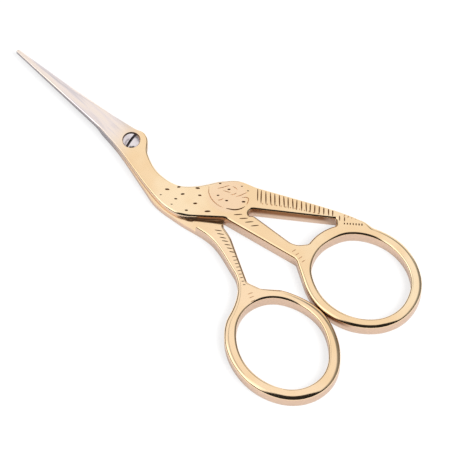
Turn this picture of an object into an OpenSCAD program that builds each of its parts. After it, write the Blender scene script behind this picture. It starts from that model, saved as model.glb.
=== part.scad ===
// Stork embroidery scissors, lying closed on the back half.
// The origin is at the middle of the outline on the rest plane. +Y runs to the blade tips, +Z is up.
// Sizes are given from the pivot axis, "left" and "right" as seen from above with the tips up,
// and the finished pieces are moved from there to the origin.

/* [Blades] */
// Length from the pivot axis to the blade tips
blade_len = 37.8; // [34:0.1:41]
// Distance from the pivot axis to the root of the blades
root_len = 8; // [7:0.5:9.5]
// Width of the blades at their root
blade_w = 4.7; // [4.3:0.1:5.1]
// Width left at the blade tips
tip_w = 0.9; // [0.6:0.1:1.3]
// Distance of the straight left blade edge from the pivot axis
blade_left = 3.1; // [2.8:0.1:3.4]
// Width of the ground bevel along each cutting edge
grind_w = 1.5; // [1:0.1:2]
// Thickness left at each cutting edge
edge_t = 0.3; // [0.2:0.05:0.5]
// Thickness of both blades together at their tips
tip_t = 1.3; // [1.1:0.1:1.8]

/* [Head and neck] */
// Reach of the head to the left of the pivot axis
head_left = 3.9; // [3.6:0.1:4.3]
// Reach of the head to the right of the pivot axis
head_right = 3.6; // [3.3:0.1:4]
// Thickness of both halves together at the pivot
head_t = 3.3; // [3:0.1:3.8]
// Distance from the pivot axis to the narrowest part of the neck
neck_len = 10.8; // [9.5:0.1:12]
// Reach of the neck to the left of the pivot axis
neck_left = 5.9; // [5.5:0.1:6.3]
// Width of the neck
neck_w = 4.5; // [3.9:0.1:5]
// Reach of the throat, between head and neck, to the right of the pivot axis
throat_right = 0.3; // [0:0.1:0.6]

/* [Body] */
// Thickness of the body, both halves together
body_t = 4.2; // [3.8:0.1:4.8]
// Rounding where the nape runs out into the back
nape_r = 0.9; // [0.6:0.1:1.2]
// Sag of the back between the nape and the shoulder
back_sag = 0.9; // [0.5:0.1:1.1]
// Distance from the pivot axis to the fullest part of the breast
breast_len = 17.3; // [16:0.1:18.5]
// Reach of the breast of the front half to the left
breast_left = 6.6; // [6.2:0.1:7]
// How far the breast of the back half stands out past the front half
breast_step = 0.5; // [0.3:0.1:0.8]
// Distance from the pivot axis to the shoulder of the wing
shoulder_len = 22.9; // [22:0.1:24]
// Reach of the shoulder to the right
shoulder_right = 7.6; // [7:0.1:8.2]
// Distance from the pivot axis to the end of the breast, where the belly turns to the fork
groin_len = 24.2; // [23:0.1:25.5]
// Reach of the end of the breast to the left
groin_left = 4.7; // [4.2:0.1:5.2]
// Distance from the pivot axis to the fork between the legs
fork_len = 30.8; // [29.8:0.1:31.8]
// Reach of the fork to the right
fork_right = 1.6; // [1.2:0.1:2]

/* [Tail] */
// Distance from the pivot axis to the root of the tail
tail_len = 30.2; // [29:0.1:31.5]
// Reach of the root of the tail to the right
tail_right = 12.8; // [12:0.1:13.6]
// Width of the tail at its root
tail_w = 5.7; // [5.2:0.1:6.1]
// Place of the tail's end on its ring, from the ring's outer side
tail_turn = 31; // [28:1:34]
// How far the tail's end stands out past the ring bar
tail_proud = 1; // [0.6:0.1:1.4]
// Rise of the tail's outer edge past a straight line
tail_bow = 0.5; // [0.2:0.1:0.8]
// Rise of the rump, between the shoulder and the tail
rump_rise = 0.7; // [0.4:0.1:1]
// Radius of the rounded end of the window between tail and leg
window_r = 1.1; // [0.8:0.1:1.3]
// Height of the web left between the window's lower end and the ring bar
web_w = 1.9; // [1.5:0.1:2.3]

/* [Legs] */
// Width of the front leg below the body
leg_w = 4.4; // [3.9:0.1:4.8]
// Width of the front leg above its foot
shin_w = 3.1; // [2.7:0.1:3.5]
// Place of each foot's corner on its ring, from the ring's outer side
foot_turn = 116; // [113:1:119]
// How far the front foot's corner stands out past the ring bar
foot_proud = 1.4; // [1:0.1:1.8]
// Turn round the ring over which the front foot runs out into the bar
foot_run = 26; // [22:1:30]
// Distance from the pivot axis to the thigh of the back leg
thigh_len = 33; // [32:0.1:34]
// Reach of the back leg's thigh to the left
thigh_left = 4.5; // [4.2:0.1:4.9]
// Width of the back leg at its thigh
thigh_w = 3.6; // [3.3:0.1:4]
// Distance from the pivot axis to the knee of the back leg
knee_len = 35.6; // [34.8:0.1:36.6]
// Distance from the pivot axis to the ankle of the back leg
ankle_len = 43; // [42:0.1:44]
// Reach of the back leg's ankle to the left
ankle_left = 6.7; // [6.3:0.1:7.1]
// Distance from the pivot axis to the notch above the back foot
notch_len = 46.9; // [46:0.1:47.6]
// Reach of the notch above the back foot to the left
notch_left = 6.2; // [5.9:0.1:6.6]
// Place where the flare of the back foot runs out on its ring, from the ring's outer side
flare_turn = 60; // [54:1:66]

/* [Rings] */
// Long axis of each finger ring along the middle of its bar
ring_long = 27.6; // [26:0.2:29]
// Short axis of each finger ring along the middle of its bar
ring_short = 23.2; // [22:0.2:24.2]
// Width of the ring bar in plan
bar_w = 2.5; // [2.1:0.1:2.8]
// Thickness of the ring bar
bar_t = 3.9; // [3.6:0.1:4.1]
// Radius of the ring bar's rounded shoulders
bar_r = 1; // [0.7:0.05:1.1]
// Lean of each ring's long axis towards the other ring
ring_tilt = 7.8; // [5:0.2:10]
// Distance from the pivot axis down to the middle of the rings
ring_len = 64.2; // [63:0.2:66]
// Place of the meeting point of the rings to the right of the pivot axis
meet_right = 1.6; // [1.1:0.1:2.1]
// Gap left between the rings when they are closed
ring_gap = 0.2; // [0.1:0.05:0.4]

/* [Joint] */
// Gap between the two halves where they lie on each other
joint_gap = 0.06; // [0.04:0.01:0.1]
// Clearance between the step of one half and the plate of the other
step_gap = 0.35; // [0.2:0.05:0.6]
// Diameter of the screw head
screw_head_d = 4.2; // [3.8:0.1:4.4]
// Height of the screw head at its rim
screw_head_t = 0.8; // [0.6:0.05:1]
// Rise of the domed top of the screw head
screw_dome = 0.15; // [0.1:0.05:0.25]
// Radial gap round the screw head in its seat
head_gap = 0.1; // [0.05:0.05:0.2]
// Diameter of the plain bearing part of the screw
shank_d = 2.6; // [2.4:0.1:3]
// Radial running clearance of the shank in the front half
shank_gap = 0.03; // [0.02:0.01:0.06]
// Diameter of the screw's end in the back half
thread_d = 2.1; // [1.8:0.1:2.2]
// Width of the driver slot
slot_w = 0.55; // [0.4:0.05:0.7]
// Depth of the driver slot
slot_t = 0.45; // [0.3:0.05:0.5]
// Turn of the driver slot from the X axis
slot_turn = 14; // [0:1:45]

/* [Hidden] */

// Steps along each curve, and a reach past everything for the cutting shapes.
steps = 6;
reach = 60;
spare = 1;
joint_z = body_t / 2;
top_z = joint_z + joint_gap / 2;
low_z = joint_z - joint_gap / 2;

gold = [0.86, 0.68, 0.42];
pale_gold = [0.9, 0.75, 0.53];
steel = [0.72, 0.71, 0.72];

// Rings as ovals of four arcs. A point on an oval is given by its turn from the outer side.
ring_a = ring_long / 2;
ring_b = ring_short / 2;
end_share = 0.6;
end_r = ring_b - (ring_a - ring_b) * end_share;
side_r = (ring_a * ring_a + ring_b * ring_b - 2 * ring_a * end_r) / (2 * (ring_b - end_r));
end_half = atan2(ring_a - end_r, side_r - ring_b);
ring_off = ring_b + bar_w / 2 + ring_gap / 2;

// Middle of the outline, seen from the pivot axis.
ring_low = ring_len + (ring_a - end_r) * cos(ring_tilt) + end_r + bar_w / 2;
middle = [meet_right, (blade_len - ring_low) / 2];

function ring_mid(side) = [meet_right + side * ring_off, -ring_len];
function ring_edge(side, from, to) =
  [for (k = [0:steps]) ring_point(side, mix(from, to, k / steps), 0)];
function ring_point(side, turn, proud) =
  let (
    across = (ring_b + proud) * cos(turn),
    along = (ring_a + proud) * sin(turn)
  )
  ring_mid(side) + [
    side * (across * cos(ring_tilt) - along * sin(ring_tilt)),
    across * sin(ring_tilt) + along * cos(ring_tilt)
  ];

// A smooth curve through a list of points, with the given number of steps between two of them.
function bend(p0, p1, p2, p3, t) =
  0.5 * (2 * p1 + (p2 - p0) * t + (2 * p0 - 5 * p1 + 4 * p2 - p3) * t * t
    + (3 * p1 - p0 - 3 * p2 + p3) * t * t * t);
function smooth(p) =
  let (n = len(p))
  concat(
    [for (i = [0:n - 2], k = [0:steps - 1])
      bend(
        i == 0 ? 2 * p[0] - p[1] : p[i - 1], p[i], p[i + 1],
        i == n - 2 ? 2 * p[n - 1] - p[n - 2] : p[i + 2], k / steps
      )],
    [p[n - 1]]
  );
function corner(p, c, q) =
  [for (k = [1:steps]) let (t = k / steps) (1 - t) * (1 - t) * p + 2 * t * (1 - t) * c + t * t * q];
function mix(a, b, t) = a + (b - a) * t;
function between(p, q, across, along) = [mix(p[0], q[0], across), mix(p[1], q[1], along)];
function backwards(p, skip) = [for (k = [len(p) - 1 - skip:-1:0]) p[k]];
function arc(mid, r, from, to) =
  [for (k = [0:steps]) mid + r * [cos(mix(from, to, k / steps)), sin(mix(from, to, k / steps))]];

// Edges that both halves share, listed from the blade tips down.
tip_lean = 0.1;
tip_l = [-blade_left - tip_lean, blade_len];
tip_r = tip_l + [tip_w, 0];
root_l = [-blade_left, root_len];
root_r = root_l + [blade_w, 0];
head_l = [-head_left, 0];
head_drop = 0.5;
head_arc = [for (a = [38:-38:-38]) head_right * [cos(a), sin(a)] - [0, head_drop]];
throat = [throat_right, -neck_len / 2];
neck_l = [-neck_left, -neck_len];
neck_r = neck_l + [neck_w, 0];
nape = [neck_r[0] + nape_r, -breast_len + nape_r];
breast_l = [-breast_left, -breast_len];
shoulder = [shoulder_right, -shoulder_len];
saddle = between(nape, shoulder, 0.4, 0.42) - [0, back_sag];
right_edge = smooth(concat([root_r, mix(root_r, head_arc[0], 0.5)], head_arc,
  [throat, neck_r, nape, saddle, shoulder]));

// Front half: belly, fork, leg, foot, tail.
fork = [fork_right, -fork_len];
groin = [-groin_left, -groin_len];
flank = between(breast_l, groin, 0.3, 0.64);
front_left = concat(smooth([root_l, head_l, neck_l, breast_l, flank, groin]), [fork]);
foot = ring_point(1, foot_turn, bar_w / 2 + foot_proud);
foot_end = ring_point(1, foot_turn + foot_run, bar_w / 2);
tail_run_out = 8;
tail_root = [tail_right, -tail_len];
tail_end = ring_point(1, tail_turn, bar_w / 2 + tail_proud);
tail_side = ring_point(1, tail_turn - tail_run_out, bar_w / 2);
tail_dir = (tail_end - tail_root) / norm(tail_end - tail_root);
tail_in = [tail_dir[1], -tail_dir[0]];
tail_edge = smooth([tail_root, mix(tail_root, tail_end, 0.7) - tail_in * tail_bow, tail_end]);
rump = smooth([shoulder, mix(shoulder, tail_root, 0.5) + rump_rise * [1, 1], tail_root]);

// Window between the front leg, the tail and the ring, listed from the shin.
leg_dir = (foot - fork) / (foot[1] - fork[1]);
function leg_point(share, w) = fork + leg_dir * (foot[1] - fork[1]) * share + [w, 0];
shin = leg_point(0.8, shin_w);
heel_turn = foot_turn - 21;
toe_turn = foot_turn - 58;
shin_in = 0.5;
heel = ring_point(1, heel_turn, bar_w / 2);
toe = ring_point(1, toe_turn, bar_w / 2);
web_top = ring_point(1, toe_turn - 2, bar_w / 2 + web_w);
window_from = 1.2;
window_root = tail_root + tail_in * tail_w + tail_dir * window_from;
window_dir = (web_top - window_root) / norm(web_top - window_root);
window_mid = window_root + window_r * [window_dir[1], -window_dir[0]];
window_turn = atan2(window_dir[1], window_dir[0]) + 90;

// Back half: plate under the body, leg, foot.
thigh_l = [-thigh_left, -thigh_len];
ankle_l = [-ankle_left, -ankle_len];
plate_neck = neck_l - [breast_step / 2, 0];
plate_breast = breast_l - [breast_step, -1];
plate_flank = between(plate_breast, thigh_l, 0.34, 0.43);
flare_l = ring_point(-1, flare_turn, bar_w / 2);
flare_mid = between(ankle_l, flare_l, 0.19, 0.68);
back_left = concat(
  smooth([root_l, head_l, plate_neck, plate_breast, plate_flank, thigh_l, ankle_l]),
  corner(ankle_l, flare_mid, flare_l));
knee = [thigh_l[0] + thigh_w, -knee_len];
notch = [-notch_left, -notch_len];
back_foot = ring_point(-1, foot_turn - 7, bar_w / 2 + foot_proud * 0.36);
back_foot_run = 14;
back_foot_end = ring_point(-1, foot_turn + back_foot_run, bar_w / 2);

// Step between the halves under the body. The plate of the back half ends there, the front
// half is thick to the right of it, and the back leg rises to full thickness below it.
step_in = [1.5, -0.4];
step_top = shoulder - step_in;
seat = fork - [step_gap, 0.2];
seat_in = [0.7, -1.4];
seat_l = [knee[0], -fork_len] + seat_in;
rise_l = plate_flank - [0.6, 3.1];
rise_r = seat_l + [-0.5, 0.4];

// Thickness along the length of the scissors, seen from the side.
thin_from = fork_len + 3;
foot_t = bar_t + 0.1;
side_top = [
  [blade_len + spare, joint_z + tip_t / 2], [0, joint_z + head_t / 2], [-breast_len, body_t],
  [-thin_from, body_t], [foot[1], foot_t], [-ring_len, foot_t]
];
side_low = [
  [-ring_len, 0], [-breast_len, 0], [0, joint_z - head_t / 2],
  [blade_len + spare, joint_z - tip_t / 2]
];

module side_slab() {
  translate([-reach, 0, 0]) rotate([90, 0, 90])
    linear_extrude(2 * reach) polygon(concat(side_top, side_low));
}

// Plan of the front half without its ring, and the window in it.
module front_plan() {
  polygon(concat(
    [tip_r, tip_l], front_left, [foot, foot_end],
    ring_edge(1, foot_turn + foot_run, tail_turn - tail_run_out),
    [tail_side], backwards(tail_edge, 0), backwards(rump, 1), backwards(right_edge, 1)
  ));
}

module front_window() {
  polygon(concat(
    smooth([shin, mix(shin, heel, 0.5) - [shin_in, 0], heel]), ring_edge(1, heel_turn, toe_turn + 8),
    [toe, web_top], arc(window_mid, window_r, window_turn, 180), [leg_point(0.22, leg_w)]
  ));
}

// Plan of the thick part of the front half, right of the step.
module front_thick_plan() {
  intersection() {
    front_plan();
    polygon([fork, step_top + [step_gap, 0], [step_top[0] + step_gap, 0], [reach, 0],
      [reach, -2 * reach], [foot[0] - reach, -2 * reach], foot - [reach, 0], foot - [spare, 0]]);
  }
}

// Plan of the plate of the back half, which the body of the front half covers.
module back_plan() {
  polygon(concat(
    [tip_r, tip_l], back_left, ring_edge(-1, flare_turn, foot_turn + back_foot_run),
    [back_foot_end, back_foot, notch, knee, seat_l, seat, step_top], backwards(right_edge, 4)
  ));
}

module back_raised_plan() {
  intersection() {
    back_plan();
    polygon([[-reach, rise_l[1]], rise_l, rise_r, [seat[0], rise_r[1]],
      [seat[0], -2 * reach], [-reach, -2 * reach]]);
  }
}

// Rounded section of the ring bar, and an arc of bar turned from it.
module bar_section() {
  half_w = bar_w / 2 - bar_r;
  half_t = bar_t / 2 - bar_r;
  polygon([for (c = [0:3], k = [0:steps])
    let (a = 90 * c + 90 * k / steps)
    [(c == 0 || c == 3 ? 1 : -1) * half_w + bar_r * cos(a),
     (c < 2 ? 1 : -1) * half_t + bar_r * sin(a)]]);
}

module bar_arc(mid, r, from, to) {
  translate([mid[0], mid[1], bar_t / 2]) rotate(from)
    rotate_extrude(angle = to - from, $fn = 96) translate([r, 0]) bar_section();
}

// The arcs run a little into each other where they meet.
module ring(side) {
  mid = ring_mid(side);
  side_half = end_half + 4;
  translate([mid[0], mid[1], 0]) rotate(side * ring_tilt)
    for (s = [-1, 1]) {
      bar_arc([0, s * (ring_a - end_r)], end_r, s * 90 - 90 + end_half, s * 90 + 90 - end_half);
      bar_arc([-s * (side_r - ring_b), 0], side_r, 90 - s * 90 - side_half, 90 - s * 90 + side_half);
    }
}

// Wedge that grinds the bevel of a cutting edge, along the line from p to q.
module grind(p, q, up) {
  run = q - p;
  grind_t = 0.4 * head_t - edge_t;
  translate([q[0], q[1], joint_z]) rotate([90, 0, atan2(-run[0], run[1])])
    linear_extrude(norm(run)) scale([up, up])
      polygon([[spare, edge_t - grind_t * spare / grind_w], [spare, head_t],
        [-grind_w, head_t], [-grind_w, edge_t + grind_t]]);
}

// The screw sits in the front half and is screwed into the back half.
head_top = joint_z + head_t / 2;
seat_z = head_top - screw_head_t;

module hole(r, from) {
  translate([0, 0, from]) cylinder(r = r, h = body_t + 2 * spare, $fn = 64);
}

module front_half() {
  color(pale_gold) {
    difference() {
      intersection() {
        union() {
          translate([0, 0, top_z]) linear_extrude(body_t)
            difference() { front_plan(); front_window(); }
          linear_extrude(body_t + spare)
            difference() { front_thick_plan(); front_window(); }
        }
        side_slab();
      }
      hole(shank_d / 2 + shank_gap, -spare);
      hole(screw_head_d / 2 + head_gap, seat_z);
      grind(root_r, tip_r, 1);
    }
    ring(1);
  }
}

module back_half() {
  color(gold) {
    difference() {
      intersection() {
        union() {
          linear_extrude(low_z) back_plan();
          linear_extrude(body_t + spare) back_raised_plan();
        }
        side_slab();
      }
      hole(thread_d / 2, -spare);
      grind(root_l, tip_l, -1);
    }
    ring(-1);
  }
}

module pivot_screw() {
  r = screw_head_d / 2;
  dome_r = (r * r + screw_dome * screw_dome) / (2 * screw_dome);
  dome_top = head_top + screw_dome;
  dome_turn = asin(r / dome_r);
  low_end = joint_z - head_t / 2;
  color(steel) difference() {
    rotate_extrude($fn = 96) polygon(concat(
      [[0, low_end], [thread_d / 2, low_end], [thread_d / 2, low_z],
       [shank_d / 2, low_z], [shank_d / 2, seat_z], [r, seat_z]],
      [for (k = [0:steps]) let (a = dome_turn * (1 - k / steps))
        [dome_r * sin(a), dome_top - dome_r * (1 - cos(a))]]
    ));
    rotate(slot_turn) translate([-r - spare, -slot_w / 2, dome_top - slot_t])
      cube([2 * (r + spare), slot_w, slot_t + spare]);
  }
}

module placed() { translate([-middle[0], -middle[1], 0]) children(); }

placed() front_half();
placed() back_half();
placed() pivot_screw();
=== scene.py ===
import math

import bmesh
import bpy
import numpy as np
from mathutils import Matrix, Vector
from mathutils.geometry import delaunay_2d_cdt


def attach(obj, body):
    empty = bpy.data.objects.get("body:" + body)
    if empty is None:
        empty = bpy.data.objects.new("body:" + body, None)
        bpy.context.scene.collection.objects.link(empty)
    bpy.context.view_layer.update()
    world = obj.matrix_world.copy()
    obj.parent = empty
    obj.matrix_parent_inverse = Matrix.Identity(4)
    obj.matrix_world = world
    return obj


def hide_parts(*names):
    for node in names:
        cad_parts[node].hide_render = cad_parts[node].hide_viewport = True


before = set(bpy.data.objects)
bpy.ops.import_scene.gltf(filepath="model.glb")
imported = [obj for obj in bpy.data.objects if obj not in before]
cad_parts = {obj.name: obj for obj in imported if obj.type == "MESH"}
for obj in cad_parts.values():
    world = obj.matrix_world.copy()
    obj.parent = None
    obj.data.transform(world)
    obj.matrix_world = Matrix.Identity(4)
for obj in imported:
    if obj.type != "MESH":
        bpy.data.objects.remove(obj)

# Stork embroidery scissors. Lengths here are in mm from the pivot axis, with the blade tips up
# and z from the floor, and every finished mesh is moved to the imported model's origin in metres.
scene = bpy.context.scene
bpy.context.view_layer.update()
mm = 0.001
middle = np.array([1.6, -20.7087])
placed = Matrix.Scale(mm, 4) @ Matrix.Translation((-middle[0], -middle[1], 0))
far, below, above = 90, -2, 8  # past every side of the object, under it and over it


def mix(a, b, t):
    return a + (b - a) * t


def spot(x, y):
    return np.array([x, y], float)


def between(p, q, across, along):
    return spot(mix(p[0], q[0], across), mix(p[1], q[1], along))


# Lines in plan


def smoothLine(points, count=14):
    # Catmull-Rom curve through the points
    p = [np.array(q, float) for q in points]
    p = [2 * p[0] - p[1]] + p + [2 * p[-1] - p[-2]]
    line = []
    for a, b, c, d in zip(p, p[1:], p[2:], p[3:]):
        for t in np.arange(count) / count:
            line.append(0.5 * (2 * b + (c - a) * t + (2 * a - 5 * b + 4 * c - d) * t * t
                               + (3 * b - a - 3 * c + d) * t ** 3))
    return np.array(line + [p[-2]])


def bendLine(p, c, q, count=14):
    # Quadratic curve from p to q that leans to c
    t = np.linspace(0, 1, count + 1)[:, None]
    return (1 - t) ** 2 * p + 2 * t * (1 - t) * c + t * t * q


def arcLine(mid, radius, turnFrom, turnTo, count=14):
    turn = np.radians(np.linspace(turnFrom, turnTo, count + 1))
    return mid + radius * np.stack([np.cos(turn), np.sin(turn)], 1)


def straight(*points):
    return np.array(points, float)


def reach(line):
    return np.concatenate([[0], np.cumsum(np.linalg.norm(np.diff(line, axis=0), axis=1))])


def resample(line, start, stop, gap):
    # The part of the line from start to stop along it, in even steps
    at = reach(line)
    count = max(1, math.ceil((stop - start) / gap))
    want = np.linspace(start, stop, count + 1)
    return np.stack([np.interp(want, at, line[:, k]) for k in (0, 1)], 1)


def joinRuns(runs, gap=0.45, ease=5):
    # Closed loop from runs of (line, edge at its start, edge at its end, rounding of its last corner).
    # An edge is the width and height of the top rounding, of the bottom one, and how flat they are.
    points, edges = [], []
    for k, (line, edgeFrom, edgeTo, corner) in enumerate(runs):
        cutBefore = runs[k - 1][3]
        after = runs[(k + 1) % len(runs)]
        total = reach(line)[-1]
        part = resample(line, cutBefore, total - corner, gap)
        share = np.linspace(0, 1, len(part))[:, None]
        values = mix(np.array(edgeFrom, float), np.array(edgeTo, float), share)
        if corner > 0:
            nextStart = resample(after[0], corner, corner + 0.01, 1)[0]
            bendPart = bendLine(part[-1], line[-1], nextStart, 5)[1:-1]
            part = np.concatenate([part, bendPart])
            values = np.concatenate([values, np.repeat(values[-1:], len(bendPart), 0)])
        else:
            part, values = part[:-1], values[:-1]
        points.append(part)
        edges.append(values)
    points, edges = np.concatenate(points), np.concatenate(edges)
    for _ in range(ease):
        edges = (np.roll(edges, 1, 0) + 2 * edges + np.roll(edges, -1, 0)) / 4
    return points, edges


# Finger rings: ovals of four arcs, tilted so that they part towards their ends
ring = {"long": 27.6, "short": 23.2, "tilt": 7.8, "distance": 64.2, "meetRight": 1.6, "meetGap": 0.1,
        "endShare": 0.6, "barWidth": 2.48}
ringA, ringB = ring["long"] / 2, ring["short"] / 2
endR = ringB - (ringA - ringB) * ring["endShare"]
sideR = (ringA ** 2 + ringB ** 2 - 2 * ringA * endR) / (2 * (ringB - endR))
ovalJoint = math.atan2(ringA - endR, sideR - ringB)
halfBar = ring["barWidth"] / 2


def placeOnRing(side, x, y):
    lean = math.radians(ring["tilt"])
    off = ringB + halfBar + ring["meetGap"]
    return spot(ring["meetRight"] + side * (off + x * math.cos(lean) - y * math.sin(lean)),
                -ring["distance"] + x * math.sin(lean) + y * math.cos(lean))


def ringCorner(side, turn, proud):
    # A place that stands proud of the bar, by its turn from the ring's outer side
    t = math.radians(turn)
    return placeOnRing(side, (ringB + proud) * math.cos(t), (ringA + proud) * math.sin(t))


def ovalSpot(side, turn, off):
    # A place on the oval that lies off its middle line, by the same turn
    t = math.radians(turn)
    t = math.atan2(math.sin(t) * (ringB + off), math.cos(t) * (ringA + off))
    away = spot(math.cos(t), math.sin(t))
    if abs(t) < ovalJoint:
        p = spot(ringB - sideR, 0) + (sideR + off) * away
    elif abs(t) < math.pi - ovalJoint:
        p = spot(0, math.copysign(ringA - endR, t)) + (endR + off) * away
    else:
        p = spot(sideR - ringB, 0) + (sideR + off) * away
    return placeOnRing(side, p[0], p[1])


# How far the hand-filed bars wander off the true oval, by turn, outwards positive
filed = {
    "frontInner": [(0, 0.06), (39, -0.06), (70, -0.6), (100, -0.28), (130, 0.12), (165, 0.25), (210, 0.25),
                   (245, -0.05), (285, -0.32), (326, 0.1)],
    "frontOuter": [(12, 0), (142, 0), (205, 0.05), (240, -0.22), (276, -0.28), (300, -0.06), (330, 0.12),
                   (350, 0.15)],
    "backInner": [(0, -0.25), (45, -0.28), (84, 0.06), (112, 0.1), (153, 0.03), (183, 0.15), (205, -0.12),
                  (224, -0.3), (255, -0.06), (306, -0.18), (340, -0.28)],
    "backOuter": [(3, -0.22), (36, 0.1), (60, 0), (130, 0), (146, -0.35), (175, -0.15), (199, -0.25),
                  (225, 0), (255, 0.3), (275, 0.22), (300, 0), (340, -0.17)],
}


def ringLine(side, turnFrom, turnTo, off, wander=((0, 0),)):
    # Along the oval at this offset, with the filing's wander
    count = max(4, math.ceil(abs(turnTo - turnFrom) / 3))
    at, by = np.array(wander, float).T
    turns = np.linspace(turnFrom, turnTo, count + 1)
    drift = sum(np.interp((turns + d) % 360, at, by, period=360) for d in (-6, -3, 0, 3, 6)) / 5
    drift[[0, -1]] = np.interp(turns[[0, -1]] % 360, at, by, period=360)
    return np.array([ovalSpot(side, t, off + d) for t, d in zip(turns, drift)])


# Thickness of the halves, and the gaps between them
body = {"thick": 4.2, "headThick": 3.3, "tipThick": 1.3, "footThick": 4, "barThick": 3.9,
        "thinFrom": 33.9, "barFrom": 64, "jointGap": 0.06, "stepGap": 0.35}
jointZ = body["thick"] / 2
frontLowZ = jointZ + body["jointGap"] / 2
plateZ = jointZ - body["jointGap"] / 2
headHalf, tipHalf = body["headThick"] / 2, body["tipThick"] / 2

# Rounding of the edges: top width, top height, bottom width, bottom height, flatness of the top one
edge = {
    "tip": (0.12, 0.12, 0.1, 0.1, 0.6),
    "bladeLeft": (0.42, 0.3, 0.1, 0.1, 0.85),
    "head": (0.26, 0.26, 0.2, 0.2, 0.5),
    "body": (0.55, 0.45, 0.3, 0.3, 0.5),
    "belly": (0.42, 0.4, 0.3, 0.3, 0.5),
    "leg": (0.65, 0.55, 0.3, 0.3, 0.3),
    "tail": (0.42, 0.42, 0.35, 0.35, 0.5),
    "window": (0.5, 0.5, 0.35, 0.35, 0.6),
    "windowTail": (0.4, 0.36, 0.3, 0.3, 0.4),
    "frontRing": (0.95, 0.55, 0.22, 0.22, 0.4),
    "backRing": (1.25, 0.7, 0.22, 0.22, 0.4),
    "ringInner": (0.6, 0.42, 0.25, 0.25, 0.4),
}

# Blades, head, neck and back, which both halves share, from the tips down
blade = {"length": 37.8, "tipWidth": 0.9, "rootDistance": 8, "rootWidth": 4.7, "left": 3.1, "lean": 0.1,
         "grindSlope": 0.68, "grindShare": 0.6, "grindFull": 0.45, "cuttingEdge": 0.3, "tipRound": 0.22}
bird = {"headRadius": 3.6, "headTurns": (38, 0, -38), "headDrop": 0.5, "headLeft": 3.9,
        "throat": (0.3, -5.4), "neckLeft": (-5.9, -10.8), "neckWidth": 4.5, "napeRound": 0.9,
        "breast": (-6.6, -17.3), "shoulder": (7.6, -22.9), "backSag": 0.9}
tipL = spot(-blade["left"] - blade["lean"], blade["length"])
tipR = tipL + [blade["tipWidth"], 0]
rootL = spot(-blade["left"], blade["rootDistance"])
rootR = rootL + [blade["rootWidth"], 0]
headArc = [bird["headRadius"] * spot(math.cos(math.radians(a)), math.sin(math.radians(a)))
           - [0, bird["headDrop"]] for a in bird["headTurns"]]
headL = spot(-bird["headLeft"], 0)
throat = spot(*bird["throat"])
neckL = spot(*bird["neckLeft"])
neckR = neckL + [bird["neckWidth"], 0]
breastL = spot(*bird["breast"])
nape = spot(neckR[0] + bird["napeRound"], breastL[1] + bird["napeRound"])
shoulder = spot(*bird["shoulder"])
saddle = between(nape, shoulder, 0.4, 0.42) - [0, bird["backSag"]]
rightEdge = smoothLine([rootR, mix(rootR, headArc[0], 0.5), *headArc, throat, neckR, nape, saddle,
                        shoulder])

# Front half: belly, leg, foot, tail and the window between leg and tail. Turns go round the finger ring.
front = {"fork": (1.6, -30.8), "groin": (-4.7, -24.2), "thighWidth": 4.4, "shinWidth": 3.1, "footTurn": 116,
         "footProud": 1.4, "footEnd": 142, "tailRoot": (12.8, -30.2), "tailWidth": 5.7, "tailBow": 0.5,
         "tailTurn": 31, "tailProud": 1, "tailSide": 23, "rumpRise": 0.7, "heelTurn": 95, "toeTurn": 58,
         "webProud": 1.9, "windowRound": 1.1, "windowStart": 1.2, "rim": 0.1, "rimTo": -30.3}
fork = spot(*front["fork"])
groin = spot(*front["groin"])
flank = between(breastL, groin, 0.3, 0.64)
frontLeft = smoothLine([rootL, headL, neckL, breastL, flank, groin])
foot = ringCorner(1, front["footTurn"], halfBar + front["footProud"])
footEnd = ovalSpot(1, front["footEnd"], halfBar)
tailRoot = spot(*front["tailRoot"])
tailEnd = ringCorner(1, front["tailTurn"], halfBar + front["tailProud"])
tailSide = ovalSpot(1, front["tailSide"], halfBar)
tailDir = (tailEnd - tailRoot) / np.linalg.norm(tailEnd - tailRoot)
tailIn = spot(tailDir[1], -tailDir[0])
tailLine = smoothLine([tailRoot, mix(tailRoot, tailEnd, 0.7) - tailIn * front["tailBow"], tailEnd])
rump = smoothLine([shoulder, mix(shoulder, tailRoot, 0.5) + front["rumpRise"], tailRoot])
legDir = (foot - fork) / (foot[1] - fork[1])


def legSpot(share, width):
    return fork + legDir * (foot[1] - fork[1]) * share + [width, 0]


thigh = legSpot(0.22, front["thighWidth"])
shin = legSpot(0.8, front["shinWidth"])
heel = ovalSpot(1, front["heelTurn"], halfBar)
toe = ovalSpot(1, front["toeTurn"], halfBar)
webTop = ringCorner(1, front["toeTurn"] - 2, halfBar + front["webProud"])
windowRoot = tailRoot + tailIn * front["tailWidth"] + tailDir * front["windowStart"]
windowDir = (webTop - windowRoot) / np.linalg.norm(webTop - windowRoot)
windowMid = windowRoot + front["windowRound"] * spot(windowDir[1], -windowDir[0])
windowTurn = math.degrees(math.atan2(windowDir[1], windowDir[0])) + 90
windowArc = arcLine(windowMid, front["windowRound"], windowTurn, 180)

# Back half: the plate under the body, the leg with its foot, and the step that the halves meet at
back = {"platePeek": 0.25, "platePeekLow": 0.5, "thigh": (-4.5, -33), "ankle": (-6.7, -43), "flareTurn": 60,
        "thighWidth": 3.6, "kneeAt": -35.6, "notch": (-6.2, -46.9), "footTurn": 109, "footProud": 0.5,
        "footEnd": 130, "rim": 0.22, "rimTo": -31}
thighL = spot(*back["thigh"])
ankleL = spot(*back["ankle"])
plateNeck = neckL - [back["platePeek"], 0]
plateBreast = breastL - [back["platePeekLow"], -1]
plateFlank = between(plateBreast, thighL, 0.34, 0.43)
flare = ovalSpot(-1, back["flareTurn"], halfBar)
flareMid = between(ankleL, flare, 0.19, 0.68)
plateLeft = smoothLine([rootL, headL, plateNeck, plateBreast, plateFlank, thighL, ankleL])
knee = spot(thighL[0] + back["thighWidth"], back["kneeAt"])
notch = spot(*back["notch"])
backFoot = ringCorner(-1, back["footTurn"], halfBar + back["footProud"])
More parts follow.
